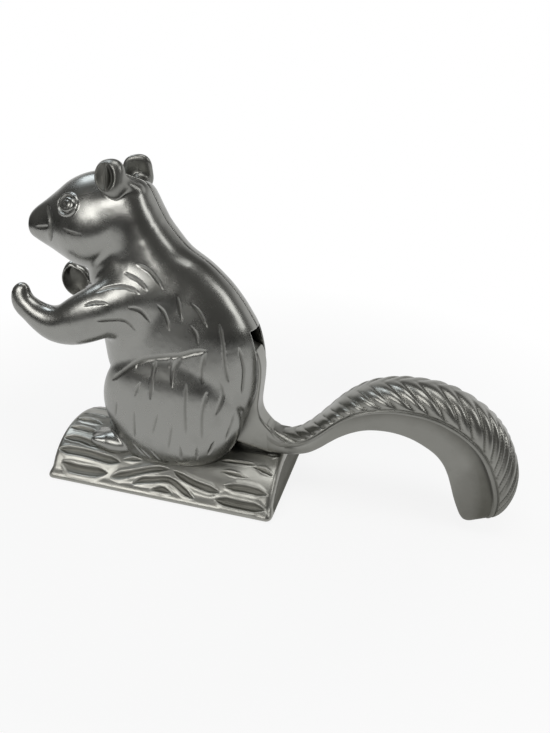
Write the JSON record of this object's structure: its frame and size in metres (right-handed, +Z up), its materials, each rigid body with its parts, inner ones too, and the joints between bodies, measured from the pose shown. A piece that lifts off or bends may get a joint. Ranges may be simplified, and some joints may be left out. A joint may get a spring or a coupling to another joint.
{
  "type": "lever nutcracker",
  "caption": "Table nutcracker cast as a sitting squirrel on a half log; lifting its curled tail pushes a jaw out of the chest and cracks a nut against the hands.",
  "frame": {"origin": "on the ground, in the middle of the log's underside, on the foot of its cross rib", "axes": "+Z up; -X is where the squirrel looks and +X is where its tail points; the left half is on the -Y side"},
  "size_m": [0.2525, 0.066, 0.1668],
  "materials": {
    "body_casting": "polished casting",
    "tail_casting": "polished casting",
    "log_casting": "polished casting with satin grooves",
    "jaw_steel": "brushed",
    "bright_steel": "zinc plated"
  },
  "bodies": {
    "frame": {"log_base": "log_casting", "body_left_half": "body_casting", "body_right_half": "body_casting", "pivot_pin": "bright_steel", "pivot_washer_left": "bright_steel", "pivot_washer_right": "bright_steel", "body_screw_neck": "bright_steel", "body_screw_back": "bright_steel", "body_screw_front": "bright_steel", "dowel_muzzle": "bright_steel", "dowel_nape": "bright_steel", "base_screw_front_left": "bright_steel", "base_screw_front_right": "bright_steel", "base_screw_rear_left": "bright_steel", "base_screw_rear_right": "bright_steel"},
    "lever": {"tail_lever": "tail_casting", "jaw_plate": "jaw_steel", "jaw_rivet": "jaw_steel"}
  },
  "joints": [
    {"name": "tail_lift", "type": "hinge", "parent": "frame", "child": "lever", "pos_m": [-0.02, 0, 0.04], "axis": [0, -1, 0], "range_deg": [0, 20]}
  ]
}
